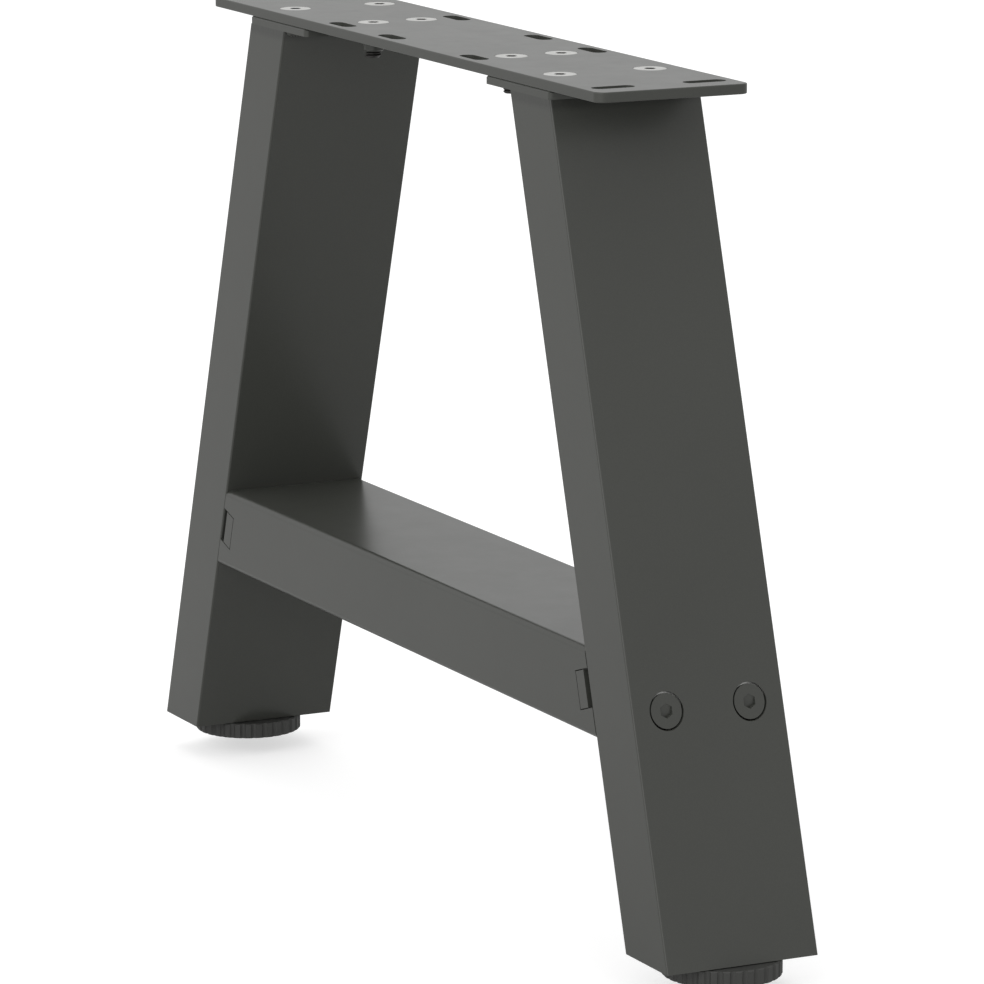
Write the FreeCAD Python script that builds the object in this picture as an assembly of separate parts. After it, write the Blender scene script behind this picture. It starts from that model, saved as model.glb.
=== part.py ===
import FreeCAD, Part
import math
import os

# Trestle table leg: two slanted rectangular tubes under a slotted top plate, tied by a crossbar,
# each standing on a ribbed foot disc that screws in and out for levelling.
# Millimetres. The origin is on the floor, midway between the feet. X runs along the plate,
# Y across it, and Z is up. The feet are drawn screwed fully in.

# Overall sizes
overall_height = 410.0
overall_width = 600.0

# Top plate
plate_length = 440.0
plate_width = 80.0
plate_thickness = 5.0
plate_corner_radius = 5.0
plate_edge_round = 0.6

# Slots that take the table top's own screws
slot_length = 22.0
slot_width = 8.0
corner_slot_spacing_x = 150.0
slot_row_spacing_y = 64.0
middle_slot_x = 17.0
end_slot_margin = 16.0
end_slot_spacing_y = 48.0

# Screws between the plate and the two legs
outer_row_x = 150.0
inner_row_x = 78.0
outer_pair_spacing = 48.0
inner_pair_spacing = 27.0

# Leg tube, a flat rectangular tube with its wide side across the table
leg_depth = 80.0
leg_thickness = 40.0
leg_wall = 2.0
leg_corner_radius = 1.0

# Flange welded on the top of each leg, its upper rim chamfered
flange_thickness = 4.0
flange_shoulder = 26.5
flange_corner_radius = 2.5
flange_heel_radius = 2.0
flange_top_chamfer = 0.8
tongue_side_margin = 10.5
tongue_end_margin = 14.0
tongue_neck_radius = 5.0

# Crossbar, a rectangular tube laid flat between the legs and as deep as they are
crossbar_height = 42.0
crossbar_wall = 2.0
crossbar_corner_radius = 3.0
crossbar_centre_z = 126.0

# End plate welded inside each crossbar end, with a tab in a notch of both side walls
end_plate_thickness = 8.0
end_plate_recess = 4.2
tab_height = 18.0
notch_clearance = 0.5

# Screws through each leg into the crossbar's end plate
side_screw_spacing = 44.0
side_screw_drop = 1.5
side_screw_overrun = 2.0
side_head_radius = 8.0
side_head_depth = 3.2
side_head_clearance = 0.9
side_head_inset = 0.3
side_socket_across_flats = 6.0
side_socket_depth = 1.5
sleeve_radius = 11.0

# M8 countersunk screw and its round weld nut
screw_radius = 4.0
screw_length = 18.0
screw_tip_chamfer = 1.0
head_radius = 8.0
head_land = 0.4
socket_across_flats = 5.0
socket_depth = 3.0
nut_radius = 5.25
nut_height = 5.5
nut_chamfer = 0.5

# Foot: a ribbed disc on an M10 stud
foot_radius = 28.5
foot_thickness = 8.0
foot_edge_chamfer = 0.5
foot_gap = 0.5
rib_count = 30
rib_groove_radius = 1.8
rib_groove_depth = 0.9
stud_radius = 5.0
stud_reach = 26.0
stud_head_across_flats = 17.0
stud_head_height = 5.0
foot_sole = 1.5

# Threaded boss and bottom plate that close the lower end of each leg
bottom_plate_thickness = 5.0
boss_radius = 8.0
boss_length = 18.0

# Clearances
thread_clearance = 0.05
hole_clearance = 0.4
seat_clearance = 0.1
weld_gap = 0.05

# Places that follow from the sizes above
plate_bottom = overall_height - plate_thickness
leg_top = plate_bottom - flange_thickness
leg_bottom = foot_thickness + foot_gap
foot_x = overall_width / 2 - foot_radius
leg_run = foot_x - outer_row_x
leg_rise = leg_top - leg_bottom
leg_tilt = math.degrees(math.atan2(leg_run, leg_rise))
cos_tilt = math.cos(math.radians(leg_tilt))
level_thickness = leg_thickness / cos_tilt
side_screw_z = crossbar_centre_z - side_screw_drop
crossbar_depth = leg_depth
tab_centre = (end_plate_recess + end_plate_thickness / 2) * math.tan(math.radians(leg_tilt))


def vec(x, y, z):
    return FreeCAD.Vector(x, y, z)


def leg_axis_x(z):
    """X of the right leg's centre line at height z."""
    return foot_x - leg_run * (z - leg_bottom) / leg_rise


def outline(corners, z):
    """Level closed wire through the corners (x, y, radius), with each corner rounded by its radius."""
    starts, middles, ends = [], [], []
    for index, (x, y, radius) in enumerate(corners):
        corner = vec(x, y, z)
        before = vec(*corners[index - 1][:2], z) - corner
        after = vec(*corners[(index + 1) % len(corners)][:2], z) - corner
        before.normalize()
        after.normalize()
        half_angle = before.getAngle(after) / 2
        reach = radius / math.tan(half_angle)
        starts.append(corner + before * reach)
        ends.append(corner + after * reach)
        inward = before + after
        inward.normalize()
        middles.append(corner + inward * (radius / math.sin(half_angle) - radius))
    edges = []
    for index, (x, y, radius) in enumerate(corners):
        if radius > 0:
            edges.append(Part.Arc(starts[index], middles[index], ends[index]).toShape())
        following = starts[(index + 1) % len(corners)]
        if ends[index].distanceToPoint(following) > 1e-6:
            edges.append(Part.LineSegment(ends[index], following).toShape())
    return Part.Wire(edges)


def rectangle(centre_x, centre_y, length, width, radius, z):
    """Level rectangle of length along X and width along Y, as a wire with rounded corners."""
    left, right = centre_x - length / 2, centre_x + length / 2
    front, back = centre_y - width / 2, centre_y + width / 2
    return outline([(left, front, radius), (right, front, radius),
                    (right, back, radius), (left, back, radius)], z)


def slab(wire, rise):
    """Solid of the level wire, raised straight up, or along the vector rise."""
    direction = rise if isinstance(rise, FreeCAD.Vector) else vec(0, 0, rise)
    return Part.Face(wire).extrude(direction)


def hexagon(x, y, across_flats, z):
    """Level hexagon with two corners along X."""
    corner_radius = across_flats / math.sqrt(3)
    corners = []
    for step in range(6):
        angle = math.radians(60 * step)
        corners.append((x + corner_radius * math.cos(angle), y + corner_radius * math.sin(angle), 0))
    return outline(corners, z)


def turned(profile):
    """Solid turned about the Z axis from the profile's (radius, z) points."""
    points = [vec(radius, 0, z) for radius, z in profile]
    face = Part.Face(Part.makePolygon(points + points[:1]))
    return face.revolve(vec(0, 0, 0), vec(0, 0, 1), 360)


def level_edges(shape):
    """The edges round a slab's top and bottom faces."""
    return [edge for edge in shape.Edges if abs(edge.tangentAt(edge.FirstParameter).z) < 0.5]


def mirrored(shape):
    """The same piece on the left side."""
    return shape.mirror(vec(0, 0, 0), vec(1, 0, 0))


def in_leg_frame(x_start, x_end, depth, z_low, z_high):
    """Box square to the right leg: X counts outward from its inner face, Z runs up along the leg
    from the crossbar's middle."""
    box = Part.makeBox(x_end - x_start, depth, z_high - z_low, vec(x_start, -depth / 2, z_low))
    inner_face_x = leg_axis_x(crossbar_centre_z) - level_thickness / 2
    box.Placement = FreeCAD.Placement(vec(inner_face_x, 0, crossbar_centre_z),
                                      FreeCAD.Rotation(vec(0, 1, 0), -leg_tilt))
    return box


def pairs(x, spacing):
    """The two places of a screw pair, one on each side of the middle."""
    return [(x, -spacing / 2), (x, spacing / 2)]


# Countersunk screws

def screw(radius, length, big_radius, land, above, across_flats, depth):
    """Countersunk screw that points down, its face at z = 0, with the head drawn on above it."""
    cone_end = -land - (big_radius - radius)
    tip_radius = radius - screw_tip_chamfer
    body = turned([(0, above), (big_radius, above), (big_radius, -land), (radius, cone_end),
                   (radius, screw_tip_chamfer - length), (tip_radius, -length), (0, -length)])
    socket = slab(hexagon(0, 0, across_flats, -depth), depth + above + 1)
    return body.cut(socket)


def countersink(radius, depth, big_radius, land, above):
    """Room for such a screw: a clear hole under a cone that seats the head."""
    shank = radius + hole_clearance
    wide = big_radius + seat_clearance
    return turned([(0, above), (wide, above), (wide, -land), (shank, -land - (wide - shank)),
                   (shank, -depth), (0, -depth)])


# Top plate

def slot_places():
    """Centre of each slot and whether it runs along the plate."""
    x, y = corner_slot_spacing_x / 2, slot_row_spacing_y / 2
    end_x = plate_length / 2 - end_slot_margin
    end_y = end_slot_spacing_y / 2
    along = [(-x, -y), (x, -y), (-x, y), (x, y), (-middle_slot_x, -y), (middle_slot_x, y)]
    across = [(-end_x, -end_y), (-end_x, end_y), (end_x, -end_y), (end_x, end_y)]
    return [(place, True) for place in along] + [(place, False) for place in across]


def make_top_plate():
    """Flat steel plate with rounded corners, slots for the table top and countersunk screw holes."""
    plate = slab(rectangle(0, 0, plate_length, plate_width, plate_corner_radius, plate_bottom),
                 plate_thickness)
    plate = plate.makeFillet(plate_edge_round, level_edges(plate))
    for (x, y), along in slot_places():
        length, width = (slot_length, slot_width) if along else (slot_width, slot_length)
        opening = rectangle(x, y, length, width, slot_width / 2, plate_bottom - 1)
        plate = plate.cut(slab(opening, plate_thickness + 2))
    for side in (-1, 1):
        for x, y in plate_screw_places():
            hole = countersink(screw_radius, plate_thickness + 1, head_radius, head_land, 1)
            hole.translate(vec(side * x, y, overall_height))
            plate = plate.cut(hole)
    return plate


def plate_screw_places():
    """The four screws that hold the plate on the right leg's flange."""
    return pairs(outer_row_x, outer_pair_spacing) + pairs(inner_row_x, inner_pair_spacing)


def make_plate_screws():
    """Four zinc-plated M8 countersunk screws, flush with the plate."""
    screws = []
    for x, y in plate_screw_places():
        piece = screw(screw_radius, screw_length, head_radius, head_land, 0,
                      socket_across_flats, socket_depth)
        piece.translate(vec(x, y, overall_height))
        screws.append(piece)
    return Part.makeCompound(screws)


def make_flange_nuts():
    """Four round M8 nuts, welded under the flange and coated with it."""
    nuts = []
    for x, y in plate_screw_places():
        nut = turned([(screw_radius + thread_clearance, 0), (nut_radius, 0),
                      (nut_radius, nut_chamfer - nut_height), (nut_radius - nut_chamfer, -nut_height),
                      (screw_radius + thread_clearance, -nut_height)])
        nut.translate(vec(x, y, leg_top))
        nuts.append(nut)
    return Part.makeCompound(nuts)


# Legs

def leg_section(inset):
    """Slanted solid of the right leg's outline, smaller all round by the inset."""
    radius = max(leg_corner_radius - inset, 0)
    flat = rectangle(foot_x, 0, level_thickness - 2 * inset / cos_tilt, leg_depth - 2 * inset,
                     radius, leg_bottom)
    return slab(flat, vec(-leg_run, 0, leg_rise))


def make_leg_tube():
    """Slanted rectangular tube, cut level at both ends, with the crossbar screws' holes through it."""
    tube = leg_section(0).cut(leg_section(leg_wall))
    centre_x = leg_axis_x(side_screw_z)
    for x, y in pairs(centre_x, side_screw_spacing):
        head_hole = Part.makeCylinder(side_head_radius + side_head_clearance, level_thickness,
                                      vec(x, y, side_screw_z), vec(1, 0, 0))
        shank_hole = Part.makeCylinder(screw_radius + hole_clearance, level_thickness,
                                       vec(x, y, side_screw_z), vec(-1, 0, 0))
        tube = tube.cut(head_hole).cut(shank_hole)
    return tube


def make_top_flange():
    """Plate welded on the leg's top: full width over the tube, then a tongue for the inner screws."""
    heel = outer_row_x + level_thickness / 2
    shoulder = outer_row_x - level_thickness / 2 - flange_shoulder
    tip = inner_row_x - tongue_end_margin
    wide = leg_depth / 2
    narrow = inner_pair_spacing / 2 + tongue_side_margin
    right_half = [(heel, wide, flange_heel_radius), (shoulder, wide, flange_corner_radius),
                  (shoulder, narrow, tongue_neck_radius), (tip, narrow, flange_corner_radius)]
    corners = right_half + [(x, -y, radius) for x, y, radius in reversed(right_half)]
    flange = slab(outline(corners, leg_top), flange_thickness)
    upper_rim = [edge for edge in level_edges(flange)
                 if edge.CenterOfMass.z > leg_top + flange_thickness / 2]
    flange = flange.makeChamfer(flange_top_chamfer, upper_rim)
    for x, y in plate_screw_places():
        flange = flange.cut(Part.makeCylinder(screw_radius + hole_clearance, flange_thickness + 2,
                                              vec(x, y, leg_top - 1)))
    return flange


def make_bottom_plate():
    """Plate welded inside the leg's lower end, level with the cut, with a hole for the boss."""
    lowest = Part.makeBox(overall_width, leg_depth, bottom_plate_thickness,
                          vec(0, -leg_depth / 2, leg_bottom))
    plate = leg_section(leg_wall + weld_gap).common(lowest)
    return plate.cut(Part.makeCylinder(boss_radius + weld_gap, bottom_plate_thickness + 2,
                                       vec(foot_x, 0, leg_bottom - 1)))


def make_foot_boss():
    """Round threaded boss welded in the bottom plate, which the foot's stud runs in."""
    boss = Part.makeCylinder(boss_radius, boss_length, vec(foot_x, 0, leg_bottom))
    return boss.cut(Part.makeCylinder(stud_radius + thread_clearance, boss_length + 2,
                                      vec(foot_x, 0, leg_bottom - 1)))


# Feet

def make_foot_stud():
    """M10 stud with a hexagon head that is moulded into the disc."""
    shank_end = foot_thickness + stud_reach
    stud = turned([(0, foot_sole), (stud_radius, foot_sole), (stud_radius, shank_end - screw_tip_chamfer),
                   (stud_radius - screw_tip_chamfer, shank_end), (0, shank_end)])
    head = slab(hexagon(0, 0, stud_head_across_flats, foot_sole), stud_head_height)
    stud = stud.fuse(head).removeSplitter()
    stud.translate(vec(foot_x, 0, 0))
    return stud


def make_foot_disc():
    """Moulded disc with chamfered edges and upright grooves round its rim."""
    disc = turned([(0, 0), (foot_radius - foot_edge_chamfer, 0), (foot_radius, foot_edge_chamfer),
                   (foot_radius, foot_thickness - foot_edge_chamfer),
                   (foot_radius - foot_edge_chamfer, foot_thickness), (0, foot_thickness)])
    head_room = slab(hexagon(0, 0, stud_head_across_flats, foot_sole), stud_head_height)
    neck = Part.makeCylinder(stud_radius + thread_clearance, foot_thickness, vec(0, 0, foot_sole))
    disc = disc.cut(head_room.fuse(neck))
    groove_x = foot_radius + rib_groove_radius - rib_groove_depth
    grooves = []
    for step in range(rib_count):
        groove = Part.makeCylinder(rib_groove_radius, foot_thickness + 2, vec(groove_x, 0, -1))
        groove.rotate(vec(0, 0, 0), vec(0, 0, 1), 360 * (step + 0.5) / rib_count)
        grooves.append(groove)
    disc = disc.cut(grooves)
    disc.translate(vec(foot_x, 0, 0))
    return disc


# Crossbar

def crossbar_section(inset):
    """Level solid of the crossbar's outline, smaller all round by the inset and too long at both ends."""
    radius = max(crossbar_corner_radius - inset, 0)
    flat = rectangle(0, 0, crossbar_height - 2 * inset, crossbar_depth - 2 * inset,
                     radius, -overall_width / 2)
    bar = slab(flat, overall_width)
    bar.rotate(vec(0, 0, 0), vec(0, 1, 0), 90)
    bar.translate(vec(0, 0, crossbar_centre_z))
    return bar


def make_crossbar_tube():
    """Rectangular tube laid flat, its ends cut to the legs' slant, with a notch in each side wall."""
    bar = crossbar_section(0).cut(crossbar_section(crossbar_wall))
    beyond = in_leg_frame(-weld_gap, overall_width, 2 * crossbar_depth, -overall_height, overall_height)
    notch_depth = end_plate_recess + end_plate_thickness + notch_clearance
    notch_half = tab_height / 2 + notch_clearance
    notch = in_leg_frame(-notch_depth, 1, 2 * crossbar_depth,
                         tab_centre - notch_half, tab_centre + notch_half)
    for cutter in (beyond, notch):
        bar = bar.cut(cutter).cut(mirrored(cutter))
    return bar


def make_end_plate():
    """Slanted plate welded inside the crossbar's end, tabbed into the notches and tapped for the screws."""
    start = -end_plate_recess - end_plate_thickness
    across = in_leg_frame(start, -end_plate_recess, crossbar_depth, -crossbar_height, crossbar_height)
    body = across.common(crossbar_section(crossbar_wall + weld_gap))
    tab = in_leg_frame(start, -end_plate_recess, crossbar_depth,
                       tab_centre - tab_height / 2, tab_centre + tab_height / 2)
    plate = body.fuse(tab).removeSplitter()
    for x, y in pairs(0, side_screw_spacing):
        plate = plate.cut(Part.makeCylinder(screw_radius + thread_clearance, overall_width / 2,
                                            vec(x, y, side_screw_z), vec(1, 0, 0)))
    return plate


# Screws through the legs, level, with their heads dressed flush to the leg's slanted face

def outer_face_x():
    """X where the side screws' centre line meets the right leg's outer face."""
    return leg_axis_x(side_screw_z) + level_thickness / 2


def laid_level(shape, y):
    """The upright screw shape laid level, its head outward on the right leg."""
    shape.rotate(vec(0, 0, 0), vec(0, 1, 0), 90)
    shape.translate(vec(outer_face_x(), y, side_screw_z))
    return shape


def make_side_screws():
    """Two long countersunk screws that pull the crossbar's end plate towards the leg."""
    through_end_plate = (end_plate_recess + end_plate_thickness) / cos_tilt
    length = level_thickness + through_end_plate + side_screw_overrun
    dressed = in_leg_frame(leg_thickness - side_head_inset, overall_width, 2 * leg_depth,
                           -overall_height, overall_height)
    screws = []
    for x, y in pairs(0, side_screw_spacing):
        piece = screw(screw_radius, length, side_head_radius, side_head_depth, leg_thickness / 4,
                      side_socket_across_flats, side_socket_depth)
        screws.append(laid_level(piece, y).cut(dressed))
    return Part.makeCompound(screws)


def make_side_sleeves():
    """Two sleeves welded between the leg's walls, which seat the screw heads and stop the tube
    from being crushed."""
    sleeves = []
    for x, y in pairs(0, side_screw_spacing):
        sleeve = Part.makeCylinder(sleeve_radius, level_thickness * 2,
                                   vec(leg_axis_x(side_screw_z) - level_thickness, y, side_screw_z),
                                   vec(1, 0, 0))
        room = countersink(screw_radius, level_thickness * 2, side_head_radius + side_head_clearance,
                           side_head_depth - side_head_clearance, leg_thickness)
        sleeves.append(sleeve.common(leg_section(leg_wall + weld_gap)).cut(laid_level(room, y)))
    return Part.makeCompound(sleeves)


def write(name, shape):
    shape.exportStep("parts/" + name + ".step")


def main():
    os.makedirs("parts", exist_ok=True)
    write("top_plate", make_top_plate())
    write("crossbar_tube", make_crossbar_tube())
    right_pieces = {
        "leg_tube": make_leg_tube(),
        "top_flange": make_top_flange(),
        "flange_nuts": make_flange_nuts(),
        "plate_screws": make_plate_screws(),
        "bottom_plate": make_bottom_plate(),
        "foot_boss": make_foot_boss(),
        "foot_stud": make_foot_stud(),
        "foot_disc": make_foot_disc(),
        "crossbar_end_plate": make_end_plate(),
        "crossbar_screws": make_side_screws(),
        "screw_sleeves": make_side_sleeves(),
    }
    for name, shape in right_pieces.items():
        write("right_" + name, shape)
        write("left_" + name, mirrored(shape))


main()
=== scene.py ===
import bmesh
import bpy
import math
from mathutils import Matrix, Vector


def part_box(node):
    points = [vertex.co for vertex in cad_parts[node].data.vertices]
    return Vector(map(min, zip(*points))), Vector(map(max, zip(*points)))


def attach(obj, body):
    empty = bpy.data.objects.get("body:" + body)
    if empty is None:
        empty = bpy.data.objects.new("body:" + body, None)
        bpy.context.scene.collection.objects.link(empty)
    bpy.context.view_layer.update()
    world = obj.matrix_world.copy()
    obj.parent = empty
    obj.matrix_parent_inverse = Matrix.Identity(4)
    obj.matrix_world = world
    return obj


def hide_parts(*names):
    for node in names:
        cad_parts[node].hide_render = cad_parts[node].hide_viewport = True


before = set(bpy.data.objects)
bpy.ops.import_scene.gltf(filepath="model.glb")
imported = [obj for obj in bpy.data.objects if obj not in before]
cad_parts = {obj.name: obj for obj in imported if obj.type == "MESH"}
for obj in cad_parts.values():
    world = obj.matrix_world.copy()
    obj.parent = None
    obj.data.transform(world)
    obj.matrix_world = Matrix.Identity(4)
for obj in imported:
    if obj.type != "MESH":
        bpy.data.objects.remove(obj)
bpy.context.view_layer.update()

# The view
# The leg is seen from a little above, past its right end, with a long lens from about three metres.
# Place and turn were solved from the straight edges and the screw rims of the object.
view_place = (2.5651, -1.2587, 0.7531)
view_heading = 153.597
view_pitch = -11.337
view_lens = 211.97
view_data = bpy.data.cameras.new("photo_view")
view_data.sensor_width = 36.0
view_data.lens = view_lens
view_data.clip_start = 0.1
view_data.clip_end = 60.0
view = bpy.data.objects.new("photo_view", view_data)
bpy.context.scene.collection.objects.link(view)
view.location = view_place
view.rotation_euler = (math.radians(90 + view_pitch), 0.0, math.radians(view_heading - 90))
bpy.context.scene.camera = view

# The leg tubes
# Two 80 by 40 mm steel tubes with 2 mm walls, cut level at both ends and bored for the crossbar's
# screws. The welded frame is blasted and powder coated in a satin anthracite, which dries with a
# faint orange peel. The seam under each flange is ground flush and keeps a faint ripple; a band
# just under the flange is painted darker, painted shade under the flange.
mm = 0.001
anthracite = (0.0457, 0.0475, 0.042, 1.0)
thin_edge_grey = (0.13, 0.13, 0.127, 1.0)
dust_grey = (0.42, 0.41, 0.38, 1.0)
under_flange_shade_grey = (0.018, 0.0184, 0.0172, 1.0)
satin_roughness = 0.3
usual_wear = 0.08
usual_dust = 0.015
edge_reach = 0.6 * mm
peel_depth = 0.02 * mm
peel_per_metre = 620.0
grain_per_metre = 3100.0
speck_per_metre = 1450.0
dust_per_metre = 130.0
patch_per_metre = 46.0
cloud_per_metre = 9.0
seam_low = 395.0 * mm
seam_full = 398.0 * mm
under_flange_shade_share = 0.45
seam_ripple_per_metre = 210.0
seam_ripple_height = 6.0


def shader_group(name, inputs, outputs):
    """Empty shader group with named inputs and outputs, and its input and output nodes."""
    group = bpy.data.node_groups.new(name, "ShaderNodeTree")
    for label, kind, value in inputs:
        socket = group.interface.new_socket(name=label, in_out="INPUT", socket_type=kind)
        socket.default_value = value
    for label, kind in outputs:
        group.interface.new_socket(name=label, in_out="OUTPUT", socket_type=kind)
    return group, group.nodes.new("NodeGroupInput"), group.nodes.new("NodeGroupOutput")


def add_node(tree, kind, joined=(), **settings):
    """A node of the tree with its settings, its inputs joined or set by name or number."""
    node = tree.nodes.new(kind)
    for key, value in settings.items():
        setattr(node, key, value)
    for socket, source in dict(joined).items():
        if isinstance(source, bpy.types.NodeSocket):
            tree.links.new(source, node.inputs[socket])
        else:
            node.inputs[socket].default_value = source
    return node


def noise(tree, place, scale, detail=2.0, roughness=0.5):
    joined = {"Vector": place, "Scale": scale, "Detail": detail, "Roughness": roughness}
    return add_node(tree, "ShaderNodeTexNoise", joined).outputs["Fac"]


def ramped(tree, value, low, high, to_low=0.0, to_high=1.0):
    """The value carried from the range low to high into to_low to to_high, held at both ends."""
    return add_node(tree, "ShaderNodeMapRange",
                    {0: value, 1: low, 2: high, 3: to_low, 4: to_high}, clamp=True).outputs[0]


def reckoned(tree, operation, first, second=0.0):
    return add_node(tree, "ShaderNodeMath", {0: first, 1: second}, operation=operation).outputs[0]


def mixed(tree, share, first, second):
    joined = {0: share, 6: first, 7: second}
    return add_node(tree, "ShaderNodeMix", joined, data_type="RGBA").outputs[2]


def toned(tree, colour, value):
    """The colour made lighter or darker by a value that changes over the surface."""
    joined = {"Color": colour, "Value": value}
    return add_node(tree, "ShaderNodeHueSaturation", joined).outputs["Color"]


def edge_share_group():
    """How much a point lies on an outer edge: a softly rounded normal against the real one."""
    group, given, result = shader_group(
        "edge_share", [("Reach", "NodeSocketFloat", edge_reach)], [("Edge", "NodeSocketFloat")])
    rounded = add_node(group, "ShaderNodeBevel", {"Radius": given.outputs["Reach"]}, samples=4)
    actual = add_node(group, "ShaderNodeNewGeometry")
    turn = add_node(group, "ShaderNodeVectorMath",
                    {0: rounded.outputs["Normal"], 1: actual.outputs["Normal"]},
                    operation="DOT_PRODUCT")
    share = ramped(group, turn.outputs["Value"], 0.99, 0.75)
    group.links.new(share, result.inputs["Edge"])
    return group


edge_share = edge_share_group()
surface_outputs = (("Colour", "NodeSocketColor"), ("Roughness", "NodeSocketFloat"),
                   ("Height", "NodeSocketFloat"))


def coat_group():
    """Powder coat: orange peel, slow cloudiness, thin edges and a little dust on what faces up."""
    group, given, result = shader_group(
        "powder_coat_surface",
        [("Coat", "NodeSocketColor", anthracite),
         ("Roughness", "NodeSocketFloat", satin_roughness),
         ("Peel per metre", "NodeSocketFloat", peel_per_metre),
         ("Edge reach", "NodeSocketFloat", edge_reach),
         ("Edge wear", "NodeSocketFloat", usual_wear), ("Dust", "NodeSocketFloat", usual_dust)],
        surface_outputs)
    place = add_node(group, "ShaderNodeTexCoord").outputs["Object"]
    peel = noise(group, place, given.outputs["Peel per metre"], 1.5, 0.45)
    grain = noise(group, place, grain_per_metre, 1.0, 0.5)
    cloud = noise(group, place, cloud_per_metre, 3.0, 0.55)
    patch = noise(group, place, patch_per_metre, 2.0, 0.6)
    speck = noise(group, place, speck_per_metre, 1.0, 0.5)
    edge = add_node(group, "ShaderNodeGroup", node_tree=edge_share)
    group.links.new(given.outputs["Edge reach"], edge.inputs["Reach"])
    worn = reckoned(group, "MULTIPLY", edge.outputs["Edge"],
                    ramped(group, patch, 0.35, 0.7, 0.25, 1.0))
    worn = reckoned(group, "MULTIPLY", worn, given.outputs["Edge wear"])
    normal = add_node(group, "ShaderNodeNewGeometry").outputs["Normal"]
    facing = add_node(group, "ShaderNodeSeparateXYZ", {0: normal}).outputs["Z"]
    settled = ramped(group, noise(group, place, dust_per_metre, 4.0, 0.7), 0.42, 0.75)
    dust = reckoned(group, "MULTIPLY", ramped(group, facing, 0.6, 1.0), settled)
    dust = reckoned(group, "MULTIPLY", dust, given.outputs["Dust"])
    shown = toned(group, given.outputs["Coat"], ramped(group, cloud, 0.2, 0.8, 0.95, 1.05))
    shown = toned(group, shown, ramped(group, speck, 0.3, 0.75, 0.96, 1.06))
    shown = mixed(group, worn, shown, thin_edge_grey)
    shown = mixed(group, dust, shown, dust_grey)
    group.links.new(shown, result.inputs["Colour"])
    spread = ramped(group, patch, 0.2, 0.8, -0.015, 0.015)
    rough = reckoned(group, "ADD", given.outputs["Roughness"], spread)
    rough = reckoned(group, "ADD", rough, reckoned(group, "MULTIPLY", dust, 1.2))
    group.links.new(rough, result.inputs["Roughness"])
    relief = reckoned(group, "ADD", peel, reckoned(group, "MULTIPLY", grain, 0.22))
    group.links.new(relief, result.inputs["Height"])
    return group


coat_surface = coat_group()


def coat_material(name, roughness=satin_roughness, wear=usual_wear, dust=usual_dust,
                  depth=peel_depth, seam_and_shade=None):
    """Satin powder coat with its own wear and dust, and a ground seam band that fades in by height,
    its darker colour painted shade under the flange.
    """
    material = bpy.data.materials.new(name)
    material.use_nodes = True
    tree = material.node_tree
    shader = tree.nodes["Principled BSDF"]
    shader.inputs["Specular IOR Level"].default_value = 0.4
    surface = add_node(tree, "ShaderNodeGroup", node_tree=coat_surface)
    surface.inputs["Roughness"].default_value = roughness
    surface.inputs["Edge wear"].default_value = wear
    surface.inputs["Dust"].default_value = dust
    colour = surface.outputs["Colour"]
    height = surface.outputs["Height"]
    if seam_and_shade:
        place = add_node(tree, "ShaderNodeTexCoord").outputs["Object"]
        rise = add_node(tree, "ShaderNodeSeparateXYZ", {0: place}).outputs["Z"]
        band = ramped(tree, rise, seam_and_shade[0], seam_and_shade[1])
        # Painted shade: the band is mixed toward a darker grey, standing in for the shade under the
        # flange.
        colour = mixed(tree, reckoned(tree, "MULTIPLY", band, under_flange_shade_share), colour, under_flange_shade_grey)
        ripple = reckoned(tree, "MULTIPLY", noise(tree, place, seam_ripple_per_metre),
                          seam_ripple_height)
        height = reckoned(tree, "ADD", height, reckoned(tree, "MULTIPLY", band, ripple))
    relief = add_node(tree, "ShaderNodeBump",
                      {"Height": height, "Distance": depth, "Strength": 0.6})
    tree.links.new(colour, shader.inputs["Base Color"])
    tree.links.new(surface.outputs["Roughness"], shader.inputs["Roughness"])
    tree.links.new(relief.outputs["Normal"], shader.inputs["Normal"])
    return material


def finish_node(name, material):
    """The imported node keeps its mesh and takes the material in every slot."""
    for material_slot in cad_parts[name].material_slots:
        material_slot.material = material


leg_coat = coat_material("leg_powder_coat", wear=0.02, seam_and_shade=(seam_low, seam_full))
for side in ("left", "right"):
    finish_node(side + "_leg_tube", leg_coat)

# The top flanges
# A 4 mm plate welded over each tube's upper end, with a shoulder and a narrower tongue toward the
# middle. A rippled fillet weld runs along its underside, across the tube's inner wide face.
flange_coat = coat_material("flange_powder_coat", wear=0.1)
weld_coat = coat_material("weld_powder_coat", roughness=0.34, depth=2 * peel_depth)
flange_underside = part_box("right_top_flange")[0][2]
tube_inner_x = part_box("right_leg_tube")[0][0]
bead_run = 77.0 * mm
bead_radius = 2.3 * mm
bead_out = 0.2 * mm
bead_drop = 0.3 * mm
bead_ripple = 1.7 * mm
bead_ripple_share = 0.07
bead_wander = 6.3 * bead_ripple
bead_wander_share = 0.04
bead_end_share = 0.45
bead_end_run = 1.6 * bead_radius
bead_sides = 12
bead_steps = 96


def keep_piece(mesh, name, materials, body, sharp_angle=35.0):
    """The bmesh as a finished piece that rides on a body, smooth but for its sharp edges."""
    bmesh.ops.recalc_face_normals(mesh, faces=mesh.faces)
    data = bpy.data.meshes.new(name)
    mesh.to_mesh(data)
    mesh.free()
    data.polygons.foreach_set("use_smooth", [True] * len(data.polygons))
    data.set_sharp_from_angle(angle=math.radians(sharp_angle))
    for material in materials:
        data.materials.append(material)
    piece = bpy.data.objects.new(name, data)
    bpy.context.scene.collection.objects.link(piece)
    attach(piece, body)
    return piece


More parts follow.
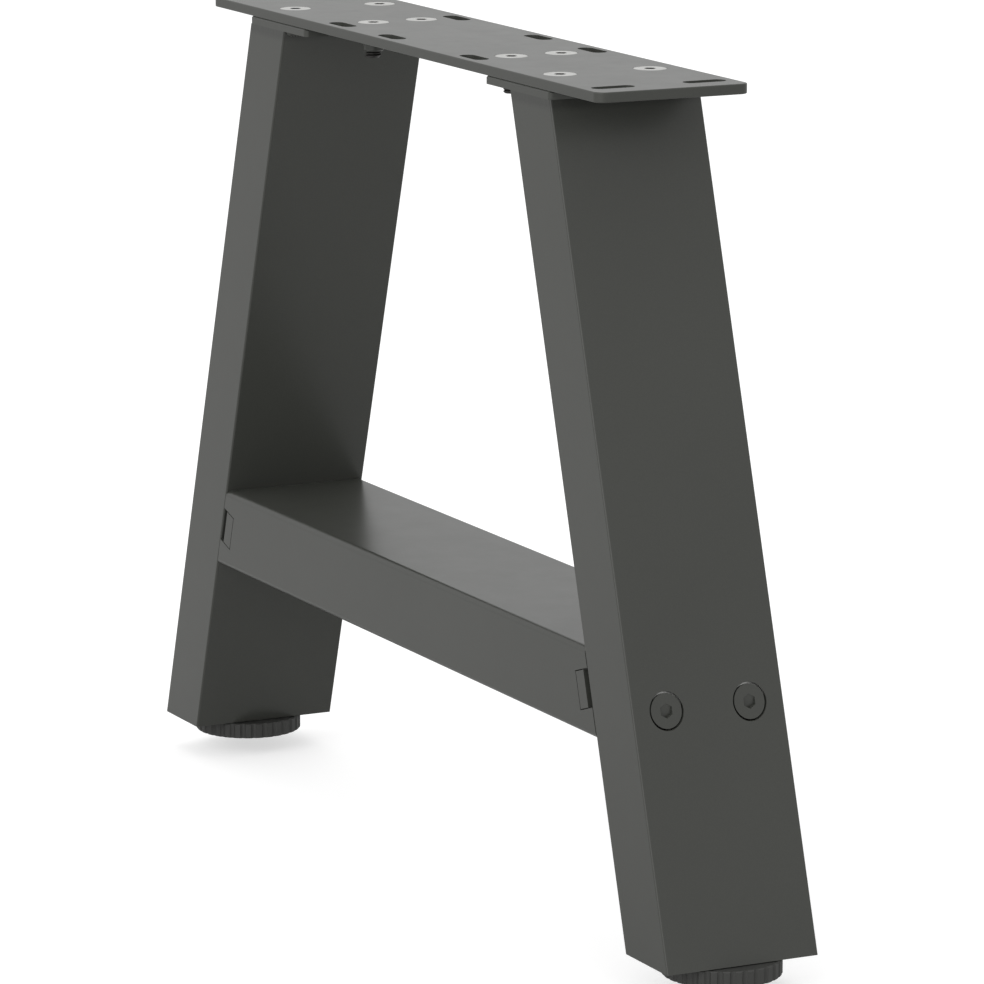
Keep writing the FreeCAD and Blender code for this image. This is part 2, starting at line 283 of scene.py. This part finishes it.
for side, mirror_x in (("left", -1.0), ("right", 1.0)):
    finish_node(side + "_top_flange", flange_coat)
    bead = bmesh.new()
    start = Vector((tube_inner_x - bead_out, -bead_run / 2, flange_underside - bead_drop))
    upright = Matrix.Rotation(math.radians(-90), 4, "X")
    bmesh.ops.create_circle(bead, cap_ends=True, segments=bead_sides, radius=bead_radius,
                            matrix=Matrix.Translation(start) @ upright)
    bmesh.ops.spin(bead, geom=bead.verts[:] + bead.edges[:] + bead.faces[:], cent=start,
                   axis=(0, 1, 0), dvec=(0.0, bead_run / bead_steps, 0.0), angle=0.0,
                   steps=bead_steps, use_merge=False)
    for vert in bead.verts:
        run = vert.co.y - start.y
        middle = Vector((start.x, vert.co.y, start.z))
        swell = 1.0 + bead_ripple_share * math.sin(2 * math.pi * run / bead_ripple)
        swell += bead_wander_share * math.sin(2 * math.pi * run / bead_wander + 1.0)
        drawn_in = min(1.0, bead_end_share + min(run, bead_run - run) / bead_end_run)
        vert.co = middle + (vert.co - middle) * swell * drawn_in
    bmesh.ops.scale(bead, vec=(mirror_x, 1.0, 1.0), verts=bead.verts)
    keep_piece(bead, side + "_flange_weld", [weld_coat], "frame", 60.0)

# The crossbar
# A third rectangular tube, laid flat and mitred to the legs' slant. Each end is closed by a thick
# plate welded a few millimetres inside, whose tabs stand in open notches of the tube's side walls.
bar_coat = coat_material("crossbar_powder_coat", dust=0.01)
finish_node("crossbar_tube", bar_coat)
for side in ("left", "right"):
    finish_node(side + "_crossbar_end_plate", flange_coat)

# The screws
# M8 countersunk screws with zinc plated heads hold the top plate to round nuts welded under the
# flanges, and their threads are coloured a dark grey, painted shade for the dark they show under
# the flanges. The four long ones that hold the crossbar sit in sleeves and are coated over with
# the frame.
screw_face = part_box("right_plate_screws")[1][2]
screw_places = ((150.0, -24.0), (150.0, 24.0), (78.0, -13.5), (78.0, 13.5))
screw_length = 18.0 * mm
screw_radius = 4.0 * mm
screw_pitch = 1.25 * mm
thread_allowance = 0.05 * mm
thread_root = 3.35 * mm
thread_start = 9.5 * mm
thread_tip = 0.8 * mm
shank_overlap = 0.1 * mm
head_radius = 8.0 * mm
head_rim = 0.15 * mm
head_land = 0.4 * mm
head_segments = 48
socket_width = 5.0 * mm
socket_depth = 3.0 * mm
socket_bevel = 0.1 * mm
socket_point = 0.9 * mm
point_gap = 0.001 * mm
bright_zinc = (0.62, 0.62, 0.6, 1.0)
dull_zinc = (0.5, 0.5, 0.49, 1.0)
# Painted shade: the threads' dark grey stands in for the shade they sit in under the flanges.
painted_shade_thread_grey = (0.075, 0.073, 0.07, 1.0)
painted_shade_grey = (0.03, 0.029, 0.027, 1.0)
zinc_roughness = 0.34
usual_painted_shade = 0.85
painted_shade_reach = 9.0 * mm
plating_depth = 0.03 * mm
zinc_cloud_per_metre = 240.0
zinc_grain_per_metre = 2600.0


def zinc_group():
    """Bright zinc plating: fine grain, slow dull patches, and painted shade that darkens the
    hollows by ambient occlusion.
    """
    group, given, result = shader_group(
        "zinc_surface",
        [("Zinc", "NodeSocketColor", bright_zinc),
         ("Roughness", "NodeSocketFloat", zinc_roughness),
         ("Painted shade", "NodeSocketFloat", usual_painted_shade)],
        surface_outputs)
    place = add_node(group, "ShaderNodeTexCoord").outputs["Object"]
    cloud = noise(group, place, zinc_cloud_per_metre, 3.0, 0.6)
    grain = noise(group, place, zinc_grain_per_metre, 2.0, 0.6)
    plated = toned(group, given.outputs["Zinc"], ramped(group, cloud, 0.3, 0.7, 0.88, 1.06))
    # Painted shade: ambient occlusion darkens the colour in sockets, thread roots and other
    # hollows.
    opening = add_node(group, "ShaderNodeAmbientOcclusion", {"Distance": painted_shade_reach}, samples=8,
                       only_local=True).outputs["AO"]
    closed = reckoned(group, "MULTIPLY", ramped(group, opening, 0.95, 0.68),
                      given.outputs["Painted shade"])
    shown = mixed(group, closed, plated, painted_shade_grey)
    group.links.new(shown, result.inputs["Colour"])
    rough = reckoned(group, "ADD", given.outputs["Roughness"],
                     ramped(group, cloud, 0.3, 0.7, 0.06, -0.05))
    rough = reckoned(group, "ADD", rough, reckoned(group, "MULTIPLY", closed, 0.3))
    group.links.new(rough, result.inputs["Roughness"])
    group.links.new(grain, result.inputs["Height"])
    return group


zinc_surface = zinc_group()


def zinc_material(name, roughness=zinc_roughness, tone=bright_zinc, painted_shade=usual_painted_shade):
    """Zinc plated steel in its own tone, with painted shade darkening its sockets and thread roots.
    """
    material = bpy.data.materials.new(name)
    material.use_nodes = True
    tree = material.node_tree
    shader = tree.nodes["Principled BSDF"]
    shader.inputs["Metallic"].default_value = 1.0
    surface = add_node(tree, "ShaderNodeGroup", node_tree=zinc_surface)
    surface.inputs["Zinc"].default_value = tone
    surface.inputs["Roughness"].default_value = roughness
    surface.inputs["Painted shade"].default_value = painted_shade
    relief = add_node(tree, "ShaderNodeBump", {"Height": surface.outputs["Height"],
                                               "Distance": plating_depth, "Strength": 0.5})
    tree.links.new(surface.outputs["Colour"], shader.inputs["Base Color"])
    tree.links.new(surface.outputs["Roughness"], shader.inputs["Roughness"])
    tree.links.new(relief.outputs["Normal"], shader.inputs["Normal"])
    return material


def rim_edges(mesh, height):
    """The open edges of the mesh that lie at one height."""
    return [edge for edge in mesh.edges if edge.is_boundary
            and all(abs(vert.co.z - height) < point_gap for vert in edge.verts)]


def drawn_rim(mesh, edges, scale, drop):
    """One more band drawn on from the edges, scaled about Z and lowered, and its far edges."""
    band = bmesh.ops.extrude_edge_only(mesh, edges=edges)["geom"]
    verts = [item for item in band if isinstance(item, bmesh.types.BMVert)]
    bmesh.ops.scale(mesh, vec=(scale, scale, 1.0), verts=verts)
    bmesh.ops.translate(mesh, vec=(0.0, 0.0, -drop), verts=verts)
    return [item for item in band if isinstance(item, bmesh.types.BMEdge)
            and all(vert in verts for vert in item.verts)]


def cut_thread(mesh, crest, root, pitch, low, high, tip_chamfer, steps=24):
    """Closed right-handed thread about the Z axis between two heights, its lower end chamfered."""
    start = low - 1.5 * pitch
    turns = math.ceil((high - start) / pitch) + 2
    profile = ((root, 0.0), (crest, 0.42 * pitch), (crest, 0.56 * pitch), (root, pitch))
    verts = [mesh.verts.new((radius, 0.0, start + rise)) for radius, rise in profile]
    edges = [mesh.edges.new(ends) for ends in zip(verts, verts[1:])]
    bmesh.ops.spin(mesh, geom=verts + edges, cent=(0, 0, 0), axis=(0, 0, 1),
                   dvec=(0, 0, pitch / steps), angle=2 * math.pi * turns, steps=steps * turns,
                   use_merge=False)
    bmesh.ops.remove_doubles(mesh, verts=mesh.verts, dist=point_gap)
    for height, normal in ((low + tip_chamfer, (0, 0, -1)), (high, (0, 0, 1))):
        bmesh.ops.bisect_plane(mesh, geom=mesh.verts[:] + mesh.edges[:] + mesh.faces[:],
                               dist=0.1 * point_gap, plane_co=(0, 0, height), plane_no=normal,
                               clear_outer=True)
    tip = drawn_rim(mesh, rim_edges(mesh, low + tip_chamfer), 0.8, tip_chamfer)
    bmesh.ops.contextual_create(mesh, geom=tip)
    bmesh.ops.contextual_create(mesh, geom=rim_edges(mesh, high))


def turn_head(mesh, shank_end):
    """Flat head with a hexagon socket, its cone, and a plain shank closed at shank_end."""
    cone_end = head_land + head_radius - screw_radius
    profile = ((head_radius - head_rim, 0.0), (head_radius, -head_rim), (head_radius, -head_land),
               (screw_radius, -cone_end), (screw_radius, shank_end))
    verts = [mesh.verts.new((radius, 0.0, height)) for radius, height in profile]
    edges = [mesh.edges.new(ends) for ends in zip(verts, verts[1:])]
    bmesh.ops.spin(mesh, geom=verts + edges, cent=(0, 0, 0), axis=(0, 0, 1), angle=2 * math.pi,
                   steps=head_segments, use_merge=True)
    bmesh.ops.contextual_create(mesh, geom=rim_edges(mesh, shank_end))
    mouth = drawn_rim(mesh, rim_edges(mesh, 0.0), 0.5, 0.0)
    for vert in {vert for edge in mouth for vert in edge.verts}:
        turn = math.degrees(math.atan2(vert.co.y, vert.co.x)) % 60.0 - 30.0
        reach = (socket_width / 2 + socket_bevel) / math.cos(math.radians(turn))
        vert.co.xy = vert.co.xy.normalized() * reach
    wall = drawn_rim(mesh, mouth, 1.0 - 2 * socket_bevel / socket_width, 3 * socket_bevel)
    socket_floor = drawn_rim(mesh, wall, 1.0, socket_depth - 3 * socket_bevel)
    point = drawn_rim(mesh, socket_floor, 0.1, socket_point)
    bmesh.ops.contextual_create(mesh, geom=point)


def place_copies(mesh, places, height):
    """The shape stands at every place, its zero height carried to the given height."""
    pattern = mesh.verts[:] + mesh.edges[:] + mesh.faces[:]
    for x, y in places[1:]:
        copied = bmesh.ops.duplicate(mesh, geom=pattern)["geom"]
        verts = [item for item in copied if isinstance(item, bmesh.types.BMVert)]
        bmesh.ops.translate(mesh, vec=(x * mm, y * mm, height), verts=verts)
    first = [item for item in pattern if isinstance(item, bmesh.types.BMVert)]
    bmesh.ops.translate(mesh, vec=(places[0][0] * mm, places[0][1] * mm, height), verts=first)


head_zinc = zinc_material("screw_head_zinc", painted_shade=1.0)
thread_steel = zinc_material("shaded_thread_steel", 0.46, painted_shade_thread_grey, 0.6)
sleeve_zinc = zinc_material("sleeve_zinc", 0.4, dull_zinc)
side_screw_coat = coat_material("side_screw_powder_coat", wear=0.1)
for side, mirror_x in (("left", -1.0), ("right", 1.0)):
    screws = bmesh.new()
    cut_thread(screws, screw_radius - thread_allowance, thread_root, screw_pitch, -screw_length,
               -thread_start, thread_tip)
    for face in screws.faces:
        face.material_index = 1
    turn_head(screws, -thread_start - shank_overlap)
    place_copies(screws, [(mirror_x * x, y) for x, y in screw_places], screw_face)
    screw_piece = keep_piece(screws, side + "_countersunk_screws", [head_zinc, thread_steel],
                             "frame")
    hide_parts(side + "_plate_screws")
    finish_node(side + "_flange_nuts", flange_coat)
    finish_node(side + "_crossbar_screws", side_screw_coat)
    finish_node(side + "_screw_sleeves", sleeve_zinc)

# The nut welds
# Each round nut is held under its flange by a low, uneven fillet weld that runs all the way round
# it, coated over with the frame. Its profile is in mm, out from the nut and up from the flange.
nut_radius = 5.25 * mm
nut_weld_profile = ((-0.4, 0.3), (1.5, 0.1), (1.35, -0.3), (0.6, -0.85), (0.05, -1.4), (-0.4, -1.4))
nut_weld_segments = 48
nut_weld_swell = 0.12 * mm
for side, mirror_x in (("left", -1.0), ("right", 1.0)):
    rings = bmesh.new()
    verts = [rings.verts.new((nut_radius + out * mm, 0.0, height * mm))
             for out, height in nut_weld_profile]
    edges = [rings.edges.new((verts[i - 1], verts[i])) for i in range(len(verts))]
    bmesh.ops.spin(rings, geom=verts + edges, cent=(0, 0, 0), axis=(0, 0, 1), angle=2 * math.pi,
                   steps=nut_weld_segments, use_merge=True)
    for vert in rings.verts:
        around = math.atan2(vert.co.y, vert.co.x)
        outward = Vector((vert.co.x, vert.co.y, 0.0))
        if outward.length > nut_radius:
            swell = math.sin(12 * around) + 0.6 * math.sin(5 * around + 0.8)
            vert.co += outward.normalized() * nut_weld_swell * swell
    place_copies(rings, [(mirror_x * x, y) for x, y in screw_places], flange_underside)
    keep_piece(rings, side + "_nut_welds", [weld_coat], "frame", 60.0)

# The top plate
# A 5 mm laser-cut steel plate, coated on its own, which is why a dark line shows between it and the
# flanges. Its ten slots take the table top's screws and its countersinks the M8 heads.
plate_coat = coat_material("plate_powder_coat")
finish_node("top_plate", plate_coat)

# The feet
# A nylon disc with a ribbed rim, moulded round the hexagon head of a zinc plated M10 stud, which
# turns in a threaded boss welded in the plate that closes the tube's lower end.
foot_x = 271.5
stud_radius = 5.0 * mm
stud_thread_root = 4.15 * mm
stud_pitch = 1.5 * mm
stud_tip = 1.0 * mm
stud_foot = 1.5 * mm
stud_head_height = 5.0 * mm
stud_head_width = 17.0 * mm
stud_head_overlap = 0.5 * mm
stud_top = 34.0 * mm
nylon_black = (0.0315, 0.032, 0.0295, 1.0)
nylon_cloud_per_metre = 60.0
nylon_grain_per_metre = 2200.0
etched_depth = 0.05 * mm


def moulded_material(name):
    """Nylon from a lightly etched mould: fine grain and slow differences in gloss."""
    material = bpy.data.materials.new(name)
    material.use_nodes = True
    tree = material.node_tree
    shader = tree.nodes["Principled BSDF"]
    place = add_node(tree, "ShaderNodeTexCoord").outputs["Object"]
    cloud = noise(tree, place, nylon_cloud_per_metre, 3.0, 0.6)
    shown = toned(tree, nylon_black, ramped(tree, cloud, 0.3, 0.7, 0.9, 1.15))
    tree.links.new(shown, shader.inputs["Base Color"])
    tree.links.new(ramped(tree, cloud, 0.3, 0.7, 0.5, 0.58), shader.inputs["Roughness"])
    grain = noise(tree, place, nylon_grain_per_metre, 1.0, 0.5)
    relief = add_node(tree, "ShaderNodeBump",
                      {"Height": grain, "Distance": etched_depth, "Strength": 0.6})
    tree.links.new(relief.outputs["Normal"], shader.inputs["Normal"])
    return material


foot_nylon = moulded_material("foot_nylon")
stud_zinc = zinc_material("stud_zinc", 0.36)
for side, mirror_x in (("left", -1.0), ("right", 1.0)):
    finish_node(side + "_bottom_plate", flange_coat)
    finish_node(side + "_foot_boss", sleeve_zinc)
    finish_node(side + "_foot_disc", foot_nylon)
    stud = bmesh.new()
    cut_thread(stud, stud_radius, stud_thread_root, stud_pitch, -stud_top,
               stud_head_overlap - stud_foot - stud_head_height, stud_tip)
    corner_radius = stud_head_width / math.sqrt(3)
    head_place = Matrix.Translation((0, 0, -stud_foot - stud_head_height / 2))
    bmesh.ops.create_cone(stud, cap_ends=True, segments=6, radius1=corner_radius,
                          radius2=corner_radius, depth=stud_head_height,
                          matrix=head_place @ Matrix.Rotation(math.radians(30), 4, "Z"))
    # The stud is cut point down, as the screws are, and then turned over.
    bmesh.ops.rotate(stud, cent=(0, 0, 0), matrix=Matrix.Rotation(math.pi, 3, "X"),
                     verts=stud.verts)
    place_copies(stud, [(mirror_x * foot_x, 0.0)], 0.0)
    stud_piece = keep_piece(stud, side + "_threaded_stud", [stud_zinc], side + "_foot")
    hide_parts(side + "_foot_stud")

# The studio
# A plain white room: a pale floor at the feet's lowest reach, clear from below, an even dim glow
# all round, and three soft lamps. The camera sees the room as white, and mirrored rays do so more
# faintly.
floor_reach = 12.0
floor_drop = 10.2 * mm
glow_level = 0.785
room_mirrored = 0.12
floor_mirrored = 0.1
paper_lift = 0.56
paper_grey = (0.62, 0.62, 0.62, 1.0)
white = (1.0, 1.0, 1.0, 1.0)


def room_rays(tree, mirrored_share):
    """1 for rays from the camera and through clear surfaces, a share for mirrored rays, else 0."""
    path = add_node(tree, "ShaderNodeLightPath")
    mirrored = reckoned(tree, "MULTIPLY", path.outputs["Is Glossy Ray"], mirrored_share)
    seen = reckoned(tree, "MAXIMUM", path.outputs["Is Camera Ray"], mirrored)
    return reckoned(tree, "MAXIMUM", seen, path.outputs["Is Transmission Ray"])


world = bpy.data.worlds.new("studio")
world.use_nodes = True
bpy.context.scene.world = world
tree = world.node_tree
tree.nodes.clear()
dim_glow = add_node(tree, "ShaderNodeBackground", {"Color": white, "Strength": glow_level})
white_room = add_node(tree, "ShaderNodeBackground", {"Color": white, "Strength": 1.0})
seen_room = add_node(tree, "ShaderNodeMixShader", {0: room_rays(tree, room_mirrored),
                                                   1: dim_glow.outputs[0],
                                                   2: white_room.outputs[0]})
add_node(tree, "ShaderNodeOutputWorld", {"Surface": seen_room.outputs[0]})

floor_mesh = bmesh.new()
bmesh.ops.create_grid(floor_mesh, x_segments=1, y_segments=1, size=floor_reach)
floor_data = bpy.data.meshes.new("studio_floor")
floor_mesh.to_mesh(floor_data)
floor_mesh.free()
floor_data.transform(Matrix.Translation((0.0, 0.0, -floor_drop)))
floor = bpy.data.objects.new("studio_floor", floor_data)
bpy.context.scene.collection.objects.link(floor)
floor_paper = bpy.data.materials.new("floor_paper")
floor_paper.use_nodes = True
tree = floor_paper.node_tree
tree.nodes.clear()
paper = add_node(tree, "ShaderNodeBsdfDiffuse", {"Color": paper_grey})
lift = add_node(tree, "ShaderNodeEmission", {"Color": white, "Strength": paper_lift})
lifted = add_node(tree, "ShaderNodeAddShader", {0: paper.outputs[0], 1: lift.outputs[0]})
seen_floor = add_node(tree, "ShaderNodeMixShader", {0: room_rays(tree, floor_mirrored),
                                                    1: paper.outputs[0], 2: lifted.outputs[0]})
under = add_node(tree, "ShaderNodeNewGeometry").outputs["Backfacing"]
camera_ray = add_node(tree, "ShaderNodeLightPath").outputs["Is Camera Ray"]
looked_through = reckoned(tree, "MULTIPLY", under, camera_ray)
clear = add_node(tree, "ShaderNodeBsdfTransparent")
one_sided = add_node(tree, "ShaderNodeMixShader", {0: looked_through, 1: seen_floor.outputs[0],
                                                   2: clear.outputs[0]})
add_node(tree, "ShaderNodeOutputMaterial", {"Surface": one_sided.outputs[0]})
floor_data.materials.append(floor_paper)


def soft_lamp(name, place, aim, size, power):
    """Square soft lamp at place, facing the point aim."""
    lamp_data = bpy.data.lights.new(name, "AREA")
    lamp_data.shape = "SQUARE"
    lamp_data.size = size
    lamp_data.energy = power
    lamp = bpy.data.objects.new(name, lamp_data)
    bpy.context.scene.collection.objects.link(lamp)
    lamp.location = place
    lamp.rotation_euler = (Vector(aim) - Vector(place)).to_track_quat("-Z", "Y").to_euler()


middle = (0.0, 0.0, 0.2)
soft_lamp("front_lamp", (0.3, -3.6, 2.0), middle, size=3.2, power=27.0)
soft_lamp("top_lamp", (-0.2, 0.6, 6.0), middle, size=6.5, power=66.0)
soft_lamp("right_lamp", (2.8, -3.2, 1.9), middle, size=3.4, power=56.0)

bpy.context.scene.view_settings.view_transform = "Standard"
